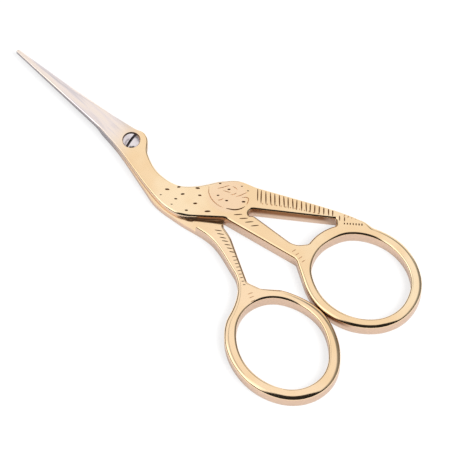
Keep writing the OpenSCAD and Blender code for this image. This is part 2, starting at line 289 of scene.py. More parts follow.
backFootEnd = ovalSpot(-1, back["footEnd"], halfBar)
stepTop = shoulder - [1.5, -0.4]
seat = fork - [body["stepGap"], 0.2]
seatL = spot(knee[0] + 0.7, fork[1] - 1.4)
riseL = plateFlank - [0.6, 3.1]
riseR = seatL + [-0.5, 0.4]


def profile(stations):
    # Height along the scissors, eased over 5 mm where its slope changes
    at, height = np.array(sorted(stations)).T

    def heightAt(y):
        y = np.asarray(y, float)
        return sum(np.interp(y + d, at, height) for d in np.linspace(-5, 5, 11)) / 11
    return heightAt


topAt = profile([(38, jointZ + tipHalf), (0, jointZ + headHalf), (breastL[1], body["thick"]),
                 (-body["thinFrom"], body["thick"]), (foot[1], body["footThick"]),
                 (-body["barFrom"], body["barThick"]), (-far, body["barThick"])])
lowAt = profile([(38, jointZ - tipHalf), (0, jointZ - headHalf), (breastL[1], 0), (-far, 0)])


def grindEdge(y, chamferTop):
    # Edge values of a ground blade, as wide as its slope asks and its width allows
    rise = float(topAt(y)) - jointZ - blade["cuttingEdge"]
    room = mix(blade["rootWidth"], blade["tipWidth"], y / blade["length"]) * blade["grindShare"]
    ground = (min(rise / blade["grindSlope"], room), rise)
    return ground + (0.1, 0.1, 1) if chamferTop else (0.1, 0.1) + ground + (1,)


circlePull = 0.5523  # of a curve's handle, so that it follows a circle


def rounding(t, flat):
    # Share of the rounding's width and height at t, from the wall to the face it runs into
    leanLow, leanTop = circlePull * (1 - flat * 0.5), circlePull * (1 - flat)
    inset = 3 * (1 - t) * t * t * (1 - leanTop) + t ** 3
    rise = 3 * (1 - t) ** 2 * t * leanLow + 3 * (1 - t) * t * t + t ** 3
    return inset, 1 - rise


def inwardOf(line):
    # Way from each point to the inside, longer where the line turns
    ahead = np.roll(line, -1, 0) - line
    ahead /= np.linalg.norm(ahead, axis=1)[:, None]
    behind = np.roll(ahead, 1, 0)
    sideA = np.stack([-ahead[:, 1], ahead[:, 0]], 1)
    sideB = np.stack([-behind[:, 1], behind[:, 0]], 1)
    inward = sideA + sideB
    inward /= np.linalg.norm(inward, axis=1)[:, None]
    return inward / np.clip((inward * sideA).sum(1), 0.6, 1)[:, None]


def wallRows(line, values, steps):
    # Rows of points from the rounding under the wall to the rounding over it
    inward = inwardOf(line)
    topW, topH, lowW, lowH, flat = values.T
    rows = []
    for way, width, height, heightAt in ((-1, lowW, lowH, lowAt), (1, topW, topH, topAt)):
        for k in (range(steps, -1, -1) if way < 0 else range(steps + 1)):
            inset, drop = rounding(k / steps, flat)
            p = line + inward * (width * inset)[:, None]
            rows.append(np.column_stack([p, heightAt(p[:, 1]) - way * height * drop]))
    return rows


def insideOf(points, ends):
    # Whether each point lies inside the closed lines, by the edges that a level ray from it crosses
    x, y = points[:, 0][:, None], points[:, 1][:, None]
    ax, ay, bx, by = ends[:, 0, 0], ends[:, 0, 1], ends[:, 1, 0], ends[:, 1, 1]
    crosses = (ay > y) != (by > y)
    crossX = ax + (y - ay) * (bx - ax) / np.where(by == ay, 1, by - ay)
    return (crosses & (x < crossX)).sum(1) % 2 == 1


def fillFace(verts, faces, rims, heightAt, up, gap):
    # Face between the rims, over a grid of points so that it can follow the height
    known = [i for rim in rims for i in rim]
    links, at = [], 0
    for rim in rims:
        links += [(at + i, at + (i + 1) % len(rim)) for i in range(len(rim))]
        at += len(rim)
    plan = np.array([verts[i][:2] for i in known])
    ends = plan[np.array(links)]
    spans = (np.arange(plan[:, k].min(), plan[:, k].max(), gap) for k in (0, 1))
    grid = np.stack(np.meshgrid(*spans), -1).reshape(-1, 2)
    grid = grid[insideOf(grid, ends)]
    clear = [np.min(np.linalg.norm(plan - g, axis=1)) > gap * 0.55 for g in grid]
    grid = grid[np.array(clear, bool)]
    for g in grid:
        known.append(len(verts))
        verts.append([g[0], g[1], float(heightAt(g[1]))])
    spread = [Vector(p) for p in plan] + [Vector(g) for g in grid]
    found, _, triangles, origin, _, _ = delaunay_2d_cdt(spread, links, [], 0, 1e-7, True)
    triangles = [t for t in triangles if len(t) == 3]
    centres = np.array([sum((found[i] for i in t), Vector((0, 0))) / 3 for t in triangles])
    for t, isIn in zip(triangles, insideOf(centres, ends)):
        if isIn:
            a, b, c = (known[origin[i][0]] for i in t)
            sideB, sideC = (np.subtract(verts[i][:2], verts[a][:2]) for i in (b, c))
            faces.append((a, b, c) if (np.cross(sideB, sideC) > 0) == up else (a, c, b))


def facing(loop, counterclockwise):
    line, values = loop
    ahead = np.roll(line, -1, 0)
    area = (line[:, 0] * ahead[:, 1] - ahead[:, 0] * line[:, 1]).sum()
    return loop if (area > 0) == counterclockwise else (line[::-1], values[::-1])


def ringFaces(lower, upper, n):
    # Faces between two closed rows of n points
    return [(lower + i, lower + (i + 1) % n, upper + (i + 1) % n, upper + i) for i in range(n)]


def loftPiece(name, outer, holes, steps=8, fillGap=1.1):
    # Closed mesh with rounded edges over an outline and its holes in plan
    verts, faces, topRims, lowRims = [], [], [], []
    for line, values in [facing(outer, True)] + [facing(hole, False) for hole in holes]:
        rows = wallRows(line, values, steps)
        base, n = len(verts), len(line)
        for r, row in enumerate(rows):
            verts.extend(row)
            if r:
                faces += ringFaces(base + (r - 1) * n, base + r * n, n)
        lowRims.append(list(range(base, base + n)))
        topRims.append(list(range(base + (len(rows) - 1) * n, base + len(rows) * n)))
    fillFace(verts, faces, topRims, topAt, True, fillGap)
    fillFace(verts, faces, lowRims, lowAt, False, fillGap)
    return meshPiece(name, verts, faces)


def meshPiece(name, verts, faces, edges=()):
    mesh = bpy.data.meshes.new(name)
    mesh.from_pydata([tuple(v) for v in verts], list(edges), faces)
    piece = bpy.data.objects.new(name, mesh)
    scene.collection.objects.link(piece)
    return piece


def prism(name, outline, low, high):
    n = len(outline)
    turn = sum(a[0] * b[1] - b[0] * a[1] for a, b in zip(outline, outline[1:] + outline[:1]))
    outline = outline if turn > 0 else outline[::-1]
    verts = [(x, y, z) for z in (low, high) for x, y in outline]
    faces = [tuple(range(n))[::-1], tuple(range(n, 2 * n))]
    return meshPiece(name, verts, faces + ringFaces(0, n, n))


def pipe(name, mid, radius, low, high, count=96):
    return prism(name, [tuple(p) for p in arcLine(mid, radius, 0, 360, count)[:-1]], low, high)


def evaluated(piece):
    # The piece's mesh with its modifiers applied, as a plain mesh
    bpy.context.view_layer.update()
    made = bpy.data.meshes.new_from_object(piece.evaluated_get(bpy.context.evaluated_depsgraph_get()))
    piece.modifiers.clear()
    old, piece.data = piece.data, made
    bpy.data.meshes.remove(old)


def cutAway(piece, cutters):
    # A cutter that has a material of its own leaves it on the faces that it makes
    for cutter in cutters:
        cut = piece.modifiers.new("cut", "BOOLEAN")
        cut.operation, cut.object, cut.solver = "DIFFERENCE", cutter, "MANIFOLD"
        cut.material_mode = "TRANSFER" if len(cutter.data.materials) else "INDEX"
        evaluated(piece)
        bpy.data.objects.remove(cutter)


def easeRim(piece, height, width, within):
    # Small bevel on the sharp rim that a flat cut left at this height
    bm = bmesh.new()
    bm.from_mesh(piece.data)
    chosen = []
    for e in bm.edges:
        a, b = e.verts
        level = abs(a.co.z - height) < 0.005 and abs(b.co.z - height) < 0.005
        if level and len(e.link_faces) == 2 and within(a.co) and within(b.co):
            flats = sorted(abs(f.normal.z) for f in e.link_faces)
            if flats[0] < 0.5 and flats[1] > 0.9:
                chosen.append(e)
    bmesh.ops.bevel(bm, geom=chosen, offset=width, offset_type="OFFSET", segments=2, profile=0.5,
                    affect="EDGES", clamp_overlap=True)
    bm.to_mesh(piece.data)
    bm.free()
    print(piece.name, "rim eased on", len(chosen), "edges")


def crossing(lowest):
    # Where the halves lie on each other, down to this y
    return lambda p: p.x < 1.5 and lowest < p.y < 36


def finishPiece(piece, body, node, sharp=32):
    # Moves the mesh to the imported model's origin in metres
    piece.data.transform(placed)
    piece.data.shade_smooth()
    piece.data.set_sharp_from_angle(angle=math.radians(sharp))
    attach(piece, body)
    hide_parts(node)
    print(piece.name, "finished,", len(piece.data.vertices), "vertices")


class Wire:
    # A node's output that adds Math nodes when it is used in an expression
    def __init__(self, bench, socket):
        self.bench, self.socket = bench, socket

    def also(self, name):
        # Another output of the same node
        return Wire(self.bench, self.socket.node.outputs[name])

    def __add__(self, other):
        return self.bench.maths("ADD", self, other)

    def __sub__(self, other):
        return self.bench.maths("SUBTRACT", self, other)

    def __rsub__(self, other):
        return self.bench.maths("SUBTRACT", other, self)

    def __mul__(self, other):
        return self.bench.maths("MULTIPLY", self, other)

    def __truediv__(self, other):
        return self.bench.maths("DIVIDE", self, other)

    def __pow__(self, other):
        return self.bench.maths("POWER", self, other)

    __radd__, __rmul__ = __add__, __mul__


class Bench:
    # A node tree, with one method that adds any node
    def __init__(self, tree):
        self.tree = tree
        tree.nodes.clear()

    def node(self, kind, settings=None, sockets=None, out=0):
        made = self.tree.nodes.new(kind)
        for name, value in (settings or {}).items():
            setattr(made, name, value)
        for name, value in (sockets or {}).items():
            socket = made.inputs[name]
            if isinstance(value, Wire):
                self.tree.links.new(value.socket, socket)
            else:
                socket.default_value = value
        return Wire(self, made.outputs[out]) if made.outputs else made

    def maths(self, operation, *values):
        return self.node("ShaderNodeMath", {"operation": operation}, dict(enumerate(values)))

    def ease(self, value, low, high):
        # 0 below low, 1 above high, smooth between
        return self.node("ShaderNodeMapRange", {"interpolation_type": "SMOOTHSTEP"},
                         {"Value": value, "From Min": low, "From Max": high})

    def window(self, value, low, high, soft=3.0):
        # 1 from low to high, 0 outside, with soft sides
        return self.ease(value, low - soft, low + soft) * (1 - self.ease(value, high - soft, high + soft))

    def blend(self, factor, a, b):
        return self.node("ShaderNodeMix", {"data_type": "RGBA"}, {0: factor, 6: a, 7: b}, out=2)


def newMaterial(name):
    material = bpy.data.materials.new(name)
    material.use_nodes = True
    return material, Bench(material.node_tree)


def colour(r, g, b):
    # A colour as a paint program names it, 0 to 255
    shares = (c / 255 for c in (r, g, b))
    return tuple(c / 12.92 if c < 0.0405 else ((c + 0.055) / 1.055) ** 2.4 for c in shares) + (1,)


# Finishes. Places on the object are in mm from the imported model's origin, as the materials see them.
inMm = 1 / mm
# The wall colours of both metals are darker than their faces: a painted reflection of the shaded floor
# beside the walls. The gilt's dark brown is painted shade.
gilt = {"face": colour(253, 228, 190), "faceDeep": colour(247, 214, 170), "wall": colour(214, 184, 160),
        "paintedBrownShade": colour(140, 90, 48), "wing": colour(247, 216, 186), "wingAt": (4.6, -6.2913), "wingR": 4.9,
        "fadeFrom": 19, "fadeTo": 28, "roughness": 0.08, "wallRoughness": 0.22, "bump": 0.1}
bareSteel = {"face": colour(243, 229, 225), "grey": colour(219, 210, 211), "cream": colour(245, 230, 218),
             "wall": colour(150, 143, 146)}


def inShade(bench, place, across, along):
    # Mask of painted brown shade and reflection on the walls: the tail's side of the window, and where the
    # two rings meet
    parting = bench.node("ShaderNodeSeparateXYZ", sockets={0: place.also("Normal")})
    inWindow = bench.ease(parting * -0.7 - parting.also("Y") * 0.7, 0.2, 0.6) * bench.ease(along, -30, -28)
    inWindow = inWindow * bench.ease(across, 4.5, 6) * (1 - bench.ease(across, 17, 18.5))
    nearMeeting = bench.ease(bench.maths("ABSOLUTE", across), 2.4, 0.6) * bench.ease(along, -33, -35)
    return bench.maths("MAXIMUM", inWindow, nearMeeting)


def polishedGold(name, gilt):
    # Gilt steel: the gold thins out towards the blades, and the filed walls are rougher. The walls' darker
    # pinkish tone is a painted reflection of the shaded floor, and their brown near the window's tail and
    # where the rings meet is painted shade.
    material, bench = newMaterial(name)
    place = bench.node("ShaderNodeTexCoord", out="Object")
    faceUp = bench.node("ShaderNodeSeparateXYZ", sockets={0: place.also("Normal")}, out=2)
    parts = bench.node("ShaderNodeSeparateXYZ", sockets={0: place})
    across, along, rise = parts * inMm, parts.also("Y") * inMm, parts.also("Z") * inMm
    cloud = bench.node("ShaderNodeTexNoise", sockets={"Vector": place, "Scale": 70, "Detail": 3})
    grain = bench.node("ShaderNodeTexNoise", sockets={"Vector": place, "Scale": 1400, "Detail": 4})
    wave = bench.node("ShaderNodeTexNoise", sockets={"Vector": place, "Scale": 200, "Detail": 1})
    drawn = bench.node("ShaderNodeMapping", sockets={"Vector": place, "Scale": (1, 0.1, 1),
                                                     "Rotation": (0, 0, 0.05)})
    streak = bench.node("ShaderNodeTexNoise", sockets={"Vector": drawn, "Scale": 420, "Detail": 3})
    onTop = bench.ease(faceUp, 0.1, 0.4)

    # Gold, a little paler inside the engraved wing
    tone = bench.blend(bench.ease(cloud, 0.38, 0.62), gilt["face"], gilt["faceDeep"])
    wingX = (across - gilt["wingAt"][0]) / gilt["wingR"]
    wingY = (along - gilt["wingAt"][1]) / gilt["wingR"]
    inWing = 1 - bench.ease(wingX * wingX + wingY * wingY, 0.55, 1.15)
    tone = bench.blend(inWing * 0.6, tone, gilt["wing"])
    # Painted brown shade, stronger towards the top of these walls.
    paintedBrownShade = bench.blend(bench.ease(rise, 1.4, 2.7), gilt["wall"], gilt["paintedBrownShade"])
    wall = bench.blend(inShade(bench, place, across, along), gilt["wall"], paintedBrownShade)
    # Faces that turn away from up take the wall tone, a painted reflection of the shaded floor.
    tone = bench.blend(onTop, wall, tone)

    # Bare steel of the blades, with the streaks of their grinding
    steel = bench.blend(bench.ease(streak, 0.42, 0.6), bareSteel["face"], bareSteel["cream"])
    steel = bench.blend(bench.ease(streak, 0.53, 0.4), steel, bareSteel["grey"])
    # Blade walls take a darker grey, a painted reflection of the shaded floor.
    steel = bench.blend(onTop, bareSteel["wall"], steel)
    bare = bench.ease(along - across * 0.35 + (cloud - 0.5) * 5, gilt["fadeFrom"], gilt["fadeTo"])

    height = wave + grain * 0.06 + inWing * grain * 0.5
    shader = bench.node("ShaderNodeBsdfPrincipled", sockets={
        "Base Color": bench.blend(bare, tone, steel), "Metallic": 1.0,
        "Roughness": gilt["roughness"] + (1 - onTop) * gilt["wallRoughness"] + grain * 0.06,
        "Normal": bench.node("ShaderNodeBump", sockets={"Strength": gilt["bump"], "Distance": 0.0002,
                                                        "Height": height})})
    bench.node("ShaderNodeOutputMaterial", sockets={"Surface": shader})
    return material


def plainMetal(name, tint, deep, scale, low, high):
    # One metal with a fine variation of tone and gloss
    material, bench = newMaterial(name)
    place = bench.node("ShaderNodeTexCoord", out="Object")
    cloud = bench.node("ShaderNodeTexNoise", sockets={"Vector": place, "Scale": scale, "Detail": 4})
    tone = bench.blend(bench.ease(cloud, 0.35, 0.65), tint, deep)
    shader = bench.node("ShaderNodeBsdfPrincipled", sockets={
        "Base Color": tone, "Metallic": 1.0, "Roughness": low + cloud * (high - low)})
    bench.node("ShaderNodeOutputMaterial", sockets={"Surface": shader})
    return material


frontGold = polishedGold("frontGold", gilt)
backGold = polishedGold("backGold", {**gilt, "face": colour(252, 222, 184), "wingR": 0.01})
# Dark brown of most engraved cuts: painted shade in the hollows. The pale cuts keep a rough gold tone.
shadedCutGold = plainMetal("shadedCutGold", colour(140, 90, 46), colour(112, 68, 32), 2500, 0.5, 0.7)
gravedPale = plainMetal("gravedPale", colour(246, 208, 164), colour(230, 186, 140), 2500, 0.6, 0.8)
screwSteel = plainMetal("screwSteel", colour(232, 224, 226), colour(212, 202, 206), 700, 0.08, 0.16)
slotShade = plainMetal("slotShade", colour(84, 76, 78), colour(62, 56, 58), 1500, 0.35, 0.5)
print("finishes ready")

# Engraving. Marks are cut by lens-shaped gravers and grooves by round ones, both made by Geometry Nodes.
# The dark cuts carry painted shade in their material.


def cutterTree(name, sizes):
    tree = bpy.data.node_groups.new(name, "GeometryNodeTree")
    tree.interface.new_socket("Guide", in_out="INPUT", socket_type="NodeSocketGeometry")
    for label, kind in sizes.items():
        tree.interface.new_socket(label, in_out="INPUT", socket_type="NodeSocket" + kind)
    tree.interface.new_socket("Cutters", in_out="OUTPUT", socket_type="NodeSocketGeometry")
    bench = Bench(tree)
    return tree, bench, bench.node("NodeGroupInput")


def endTree(bench, cutters, given):
    solid = bench.node("GeometryNodeRealizeInstances", sockets={0: cutters})
    dressed = bench.node("GeometryNodeSetMaterial", sockets={"Geometry": solid,
                                                             "Material": given.also("Metal")})
    bench.node("NodeGroupOutput", sockets={0: dressed})


def ownValue(bench, name):
    return bench.node("GeometryNodeInputNamedAttribute", {"data_type": "FLOAT"}, {"Name": name})


def lensOn(bench, points, given, turn, length, width, depth, fromEnd):
    ball = bench.node("GeometryNodeMeshUVSphere", sockets={"Segments": 10, "Rings": 5, "Radius": 1.0})
    shift = (1.0 if fromEnd else 0.0, 0, 0)
    lens = bench.node("GeometryNodeTransform", sockets={0: ball, "Translation": shift})
    wander = given.also("Wander")
    stray = bench.node("FunctionNodeRandomValue", {"data_type": "FLOAT"},
                       {2: wander * -1, 3: wander, "Seed": given.also("Seed")}, out=1)
    return bench.node("GeometryNodeInstanceOnPoints", sockets={
        "Points": points, "Instance": lens,
        "Rotation": bench.node("ShaderNodeCombineXYZ", sockets={2: turn + stray}),
        "Scale": bench.node("ShaderNodeCombineXYZ", sockets={0: length * 0.5, 1: width * 0.5, 2: depth})})


def markTree():
    # One lens on each point, with the point's own turn, length and width
    tree, bench, given = cutterTree("gravedMarks", {
        "Depth": "Float", "Wander": "Float", "Seed": "Int", "Metal": "Material"})
    width = ownValue(bench, "width")
    lenses = lensOn(bench, given, given, ownValue(bench, "turn"), ownValue(bench, "length"), width,
                    given.also("Depth"), False)
    endTree(bench, lenses, given)
    return tree


def rowTree():
    # Lenses in even steps along the guide, from their ends, with lengths that run from first to last
    tree, bench, given = cutterTree("gravedRow", {
        "Count": "Int", "First Length": "Float", "Last Length": "Float", "Turn": "Float", "Width": "Float",
        "Depth": "Float", "Wander": "Float", "Seed": "Int", "Metal": "Material"})
    curve = bench.node("GeometryNodeMeshToCurve", sockets={0: given})
    spaced = bench.node("GeometryNodeResampleCurve", sockets={0: curve, "Count": given.also("Count")})
    share = bench.node("GeometryNodeSplineParameter")
    length = given.also("First Length") * (1 - share) + given.also("Last Length") * share
    lenses = lensOn(bench, spaced, given, given.also("Turn"), length, given.also("Width"),
                    given.also("Depth"), True)
    endTree(bench, lenses, given)
    return tree


def grooveTree():
    # A round graver drawn along each guide, thin at both ends
    tree, bench, given = cutterTree("gravedGroove", {"Steps": "Int", "Width": "Float", "Metal": "Material"})
    curve = bench.node("GeometryNodeMeshToCurve", sockets={0: given})
    spaced = bench.node("GeometryNodeResampleCurve", sockets={0: curve, "Count": given.also("Steps")})
    share = bench.node("GeometryNodeSplineParameter")
    swell = (share * (1 - share) * 4 + 0.02) ** 0.5
    tip = bench.node("GeometryNodeCurvePrimitiveCircle", sockets={"Resolution": 8, "Radius": 1.0})
    drawn = bench.node("GeometryNodeCurveToMesh", sockets={
        "Curve": spaced, "Profile Curve": tip, "Scale": swell * given.also("Width") * 0.5,
        "Fill Caps": True})
    endTree(bench, drawn, given)
    return tree


def graver(tree, guide, sizes):
    # Runs a tree on a guide mesh and leaves the cutters as a plain mesh
    run = guide.modifiers.new(tree.name, "NODES")
    run.node_group = tree
    for item in tree.interface.items_tree:
        if item.in_out == "INPUT" and item.name in sizes:
            run[item.identifier] = sizes[item.name]
    evaluated(guide)
    return guide


def lineGuide(name, line):
    line = [(x, y, float(topAt(y))) for x, y in line]
    return meshPiece(name, line, [], [(i, i + 1) for i in range(len(line) - 1)])


def pointGuide(name, marks):
    # Marks are (x, y, turn in degrees, length, width)
    guide = meshPiece(name, [(x, y, float(topAt(y))) for x, y, *_ in marks], [])
    for label, k, share in (("turn", 2, math.pi / 180), ("length", 3, 1), ("width", 4, 1)):
        own = guide.data.attributes.new(label, "FLOAT", "POINT")
        own.data.foreach_set("value", [mark[k] * share for mark in marks])
    return guide


def joined(name, cutters, metal):
    # One cutter of them all, with the material that its cuts take
    bm = bmesh.new()
    for cutter in cutters:
        bm.from_mesh(cutter.data)
        bpy.data.objects.remove(cutter)
    for f in bm.faces:
        f.material_index = 0
    bmesh.ops.recalc_face_normals(bm, faces=bm.faces)
    mesh = bpy.data.meshes.new(name)
    bm.to_mesh(mesh)
    bm.free()
    for label in ("turn", "length", "width"):
        if label in mesh.attributes:
            mesh.attributes.remove(mesh.attributes[label])
    mesh.materials.append(metal)
    piece = bpy.data.objects.new(name, mesh)
    scene.collection.objects.link(piece)
    print(name, len(mesh.vertices), "vertices of cutters")
    return piece


marksByPoint, marksInRow, grooves = markTree(), rowTree(), grooveTree()
hatch = {"turn": 226.5, "width": 0.26, "depth": 0.16, "paleDepth": 0.08, "wander": 0.05, "seed": 7}


def row(name, line, count, first, last, width=1.0, turn=hatch["turn"], depth=hatch["depth"]):
    sizes = {"Count": count, "First Length": first, "Last Length": last, "Turn": math.radians(turn),
             "Width": hatch["width"] * width, "Depth": depth, "Wander": hatch["wander"],
             "Seed": hatch["seed"] + count, "Metal": shadedCutGold}
    return graver(marksInRow, lineGuide(name, line), sizes)


def paleRow(name, line, count, first, last, width=1.0, turn=hatch["turn"]):
    return row(name, line, count, first, last, width, turn, hatch["paleDepth"])


def groove(name, line, width, steps):
    sizes = {"Steps": steps, "Width": width, "Metal": shadedCutGold}
    return graver(grooves, lineGuide(name, smoothLine(line, 6)), sizes)


# Feather ticks of the front half: x, y and size of each
feathers = {"turn": -43.5, "length": 0.95, "width": 0.46, "widest": 1.1, "depth": 0.26, "wander": 0.12,
            "seed": 4}
ticks = [(-0.64, -17.36, 1), (-3.36, -19.18, 0.9), (-1.29, -19.39, 1.1), (1.43, -22.46, 1),
         (-0.86, -23.29, 1.15), (-3.64, -23.18, 0.95), (-5.07, -19.57, 0.6), (-5.2, -15.9, 0.6),
         (7.16, -23.48, 0.75), (4.59, -25.46, 0.8), (7.59, -26.09, 0.9), (5.09, -27.9, 0.9),
         (7.79, -30.9, 1.05), (10.4, -27.6, 0.6), (10.6, -29.5, 0.6), (-3.07, -15.9, 1.3),
         (2.4, -20.7, 1.25), (-0.2, -26.85, 1.7)]

# Grooves round and in the wing: places along each, width, steps
wingGrooves = {
    "wingLeft": ([(4.75, -22.1), (4.25, -22.65), (3.55, -23.3), (3.2, -24), (2.9, -24.7), (2.72, -25.7),
                  (2.72, -26.9), (2.92, -28.0), (3.25, -28.75)], 0.22, 18),
    "wingCurl": ([(7.7, -32.0), (8.35, -31.75), (8.95, -31.4), (9.25, -30.9), (8.9, -30.3), (8.3, -29.8)],
                 0.24, 14),
    "scrollA": ([(5.75, -24), (7, -24.75), (8.5, -25.4)], 0.2, 9),
    "scrollB": ([(3.6, -26.35), (4.3, -26.8), (5, -26.95)], 0.2, 8),
    "scrollC": ([(6.9, -27.4), (7.5, -27.85), (8.3, -28.05)], 0.2, 8),
    "scrollD": ([(8.75, -26.1), (9.0, -26.9), (8.9, -27.6)], 0.2, 8),
    "scrollE": ([(7.4, -28.6), (8.3, -29.1), (9.3, -29.4), (10.3, -29.7)], 0.2, 9),
    "scrollF": ([(6.3, -25.3), (6.75, -26.1), (7.3, -27.0)], 0.18, 8),
}


def frontEngraving():
    marks = [(x, y, feathers["turn"], feathers["length"] * size,
              feathers["width"] * min(size, feathers["widest"])) for x, y, size in ticks]
    sizes = {"Depth": feathers["depth"], "Wander": feathers["wander"], "Seed": feathers["seed"],
             "Metal": shadedCutGold}
    dark = [
        graver(marksByPoint, pointGuide("featherTicks", marks), sizes),
        row("legSlashes", [(3.6, -31.75), (4.45, -36.7)], 4, 2.3, 2.2, 1.15, -40),
        groove("tailEdge", [(12.85, -30.5), (11.6, -31.8), (10.3, -33.1)], 0.26, 8),
        row("tailHatch", [(13.2, -31.4), (14.96, -34.4), (17.3, -38.75), (19.8, -43.0), (22.0, -46.8)],
            17, 4.0, 2.2, 1.3, depth=hatch["paleDepth"]),
        row("tailEnd", [(21.9, -49.2), (22.5, -50.3)], 2, 1.5, 1.3, 1.1),
        row("tailBand", [(21.4, -51.35), (24.3, -54.35)], 7, 0.55, 0.75, 1.3),
        groove("wingUnder", [(3.5, -29.25), (4.1, -30.1), (4.6, -30.8), (5.3, -31.4), (6.2, -31.85),
                             (7.2, -32.05)], 0.34, 14),
    ]
    pale = [groove(name, *shape) for name, shape in wingGrooves.items()] + [
        paleRow("tailUnder", [(10.9, -34.2), (13.2, -37.2), (16.2, -41.2), (18.7, -45.2)],
                13, 0.5, 0.45, 1.2),
        paleRow("tailTop", [(13.6, -32.0), (19.9, -43.6), (21.9, -47.4)], 17, 0.6, 0.5, 1.2, 10),
        paleRow("tailSwirl", [(22.3, -50.2), (24.3, -53.4)], 5, 0.9, 0.8, 1.2, 20),
        paleRow("footFan", [(6.9, -48.4), (6.6, -52.0)], 4, 1.3, 1.2, 0.8, -10),
    ]
    return [joined("darkCuts", dark, shadedCutGold), joined("paleCuts", pale, gravedPale)]


def backEngraving():
    dark = [
        row("kneeSlashes", [(-2.45, -31.55), (-3.85, -38.1)], 7, 2.0, 1.5, 1.0, -55),
        row("ladder", [(-4.35, -39.6), (-7.6, -46.7)], 9, 1.15, 0.75, 0.8, -38),
    ]
    pale = [paleRow("backFootFan", [(-8.5, -49.3), (-9.3, -51.2)], 3, 1.5, 1.3, 0.8, -22)]
    return [joined("backDarkCuts", dark, shadedCutGold), joined("backPaleCuts", pale, gravedPale)]


# Pivot screw's sizes, which the front half's bore and counterbore follow
screw = {"headRadius": 2.1, "headGap": 0.1, "headHeight": 0.8, "domeHeight": 0.47, "rimDrop": 0.3,
         "rim": 0.1, "shank": 1.3, "shankGap": 0.03, "thread": 1.05, "slotWidth": 0.62, "slotDepth": 0.5,
         "slotTurn": 14}
headTop = jointZ + headHalf
seatZ = headTop - screw["headHeight"]

# Front half. The ground facet reaches its full width some way along the blade.
groundFrom = mix(rootR, tipR, blade["grindFull"])
groundWide, groundTip = grindEdge(groundFrom[1], True), grindEdge(blade["length"], True)
frontOuter = joinRuns([
    (straight(tipR, tipL), edge["tip"], edge["tip"], blade["tipRound"]),
    (straight(tipL, rootL), edge["tip"], edge["bladeLeft"], 0),
    (frontLeft, edge["head"], edge["body"], 0.6),
    (straight(groin, fork), edge["belly"], edge["belly"], 0.6),
    (straight(fork, foot), edge["leg"], edge["leg"], 0.5),
    (straight(foot, footEnd), edge["leg"], edge["frontRing"], 0.6),
    (ringLine(1, front["footEnd"], 360 + front["tailSide"], halfBar, filed["frontOuter"]),
     edge["frontRing"], edge["frontRing"], 0.5),
    (straight(tailSide, tailEnd), edge["frontRing"], edge["tail"], 0.5),
    (tailLine[::-1], edge["tail"], edge["tail"], 0.6),
    (rump[::-1], edge["tail"], edge["body"], 0.6),
    (rightEdge[::-1], edge["body"], edge["head"], 0),
    (straight(rootR, groundFrom), edge["head"], groundWide, 0),
    (straight(groundFrom, tipR), groundWide, groundTip, blade["tipRound"]),
])
frontRing = joinRuns([
    (ringLine(1, 360, 0, -halfBar, filed["frontInner"]), edge["ringInner"], edge["ringInner"], 0)])
frontWindow = joinRuns([
    (smoothLine([shin, mix(shin, heel, 0.5) - [0.5, 0], heel]), edge["window"], edge["window"], 0.4),
    (ringLine(1, front["heelTurn"], front["toeTurn"], halfBar), edge["window"], edge["window"], 0.4),
    (straight(toe, webTop), edge["window"], edge["window"], 0.45),
    (straight(webTop, windowArc[0]), edge["windowTail"], edge["windowTail"], 0),
    (windowArc, edge["windowTail"], edge["window"], 0),
    (straight(windowArc[-1], thigh), edge["window"], edge["window"], 0.6),
    (straight(thigh, shin), edge["window"], edge["window"], 0.6),
])
frontHalf = loftPiece("frontHalf", frontOuter, [frontRing, frontWindow])
frontHalf.data.materials.append(frontGold)
stepX = stepTop[0] + body["stepGap"]
frontUnder = prism("frontUnder", [(-far, far), (far, far), (far, 0), (stepX, 0), (stepX, stepTop[1]),
                                  tuple(fork - [0.02, -0.02]), tuple(foot - [1, 0]), (-far, foot[1])],
                   below, frontLowZ)
cutAway(frontHalf, [frontUnder])
easeRim(frontHalf, frontLowZ, front["rim"], crossing(front["rimTo"]))
cutAway(frontHalf, [
    pipe("shankBore", spot(0, 0), screw["shank"] + screw["shankGap"], below, above),
    pipe("headSeat", spot(0, 0), screw["headRadius"] + screw["headGap"], seatZ, above),
] + frontEngraving())
finishPiece(frontHalf, "front", "front_half")

# Back half, whose right edge stops 9 points short of the shoulder, at the step
backOuter = joinRuns([
    (straight(tipR, tipL), edge["tip"], edge["tip"], blade["tipRound"]),
    (straight(tipL, rootL), grindEdge(blade["length"], False), grindEdge(blade["rootDistance"], False), 0),
    (plateLeft, edge["head"], edge["leg"], 0.3),
    (bendLine(ankleL, flareMid, flare), edge["leg"], edge["backRing"], 0.5),
    (ringLine(-1, back["flareTurn"], back["footEnd"] - 360, halfBar, filed["backOuter"]),
     edge["backRing"], edge["backRing"], 0.5),
    (straight(backFootEnd, backFoot), edge["backRing"], edge["leg"], 0.4),
    (straight(backFoot, notch), edge["leg"], edge["leg"], 0.4),
    (straight(notch, knee), edge["leg"], edge["leg"], 0.9),
    (straight(knee, seatL), edge["leg"], edge["leg"], 0.6),
    (straight(seatL, seat), edge["leg"], edge["head"], 0.45),
    (straight(seat, stepTop), edge["head"], edge["head"], 0.5),
    (rightEdge[:-9][::-1], edge["head"], edge["head"], 0),
    (straight(rootR, tipR), edge["bladeLeft"], edge["tip"], blade["tipRound"]),
])
backRing = joinRuns([
    (ringLine(-1, 360, 0, -halfBar, filed["backInner"]), edge["ringInner"], edge["ringInner"], 0)])
backHalf = loftPiece("backHalf", backOuter, [backRing])
backHalf.data.materials.append(backGold)
backOver = prism("backOver", [(-far, far), (-far, riseL[1]), tuple(riseL), tuple(riseR), (far, riseR[1]),
                              (far, far)], plateZ, above)
cutAway(backHalf, [backOver])
easeRim(backHalf, plateZ, back["rim"], crossing(back["rimTo"]))
cutAway(backHalf, [pipe("threadBore", spot(0, 0), screw["thread"], below, above)] + backEngraving())
finishPiece(backHalf, "back", "back_half")

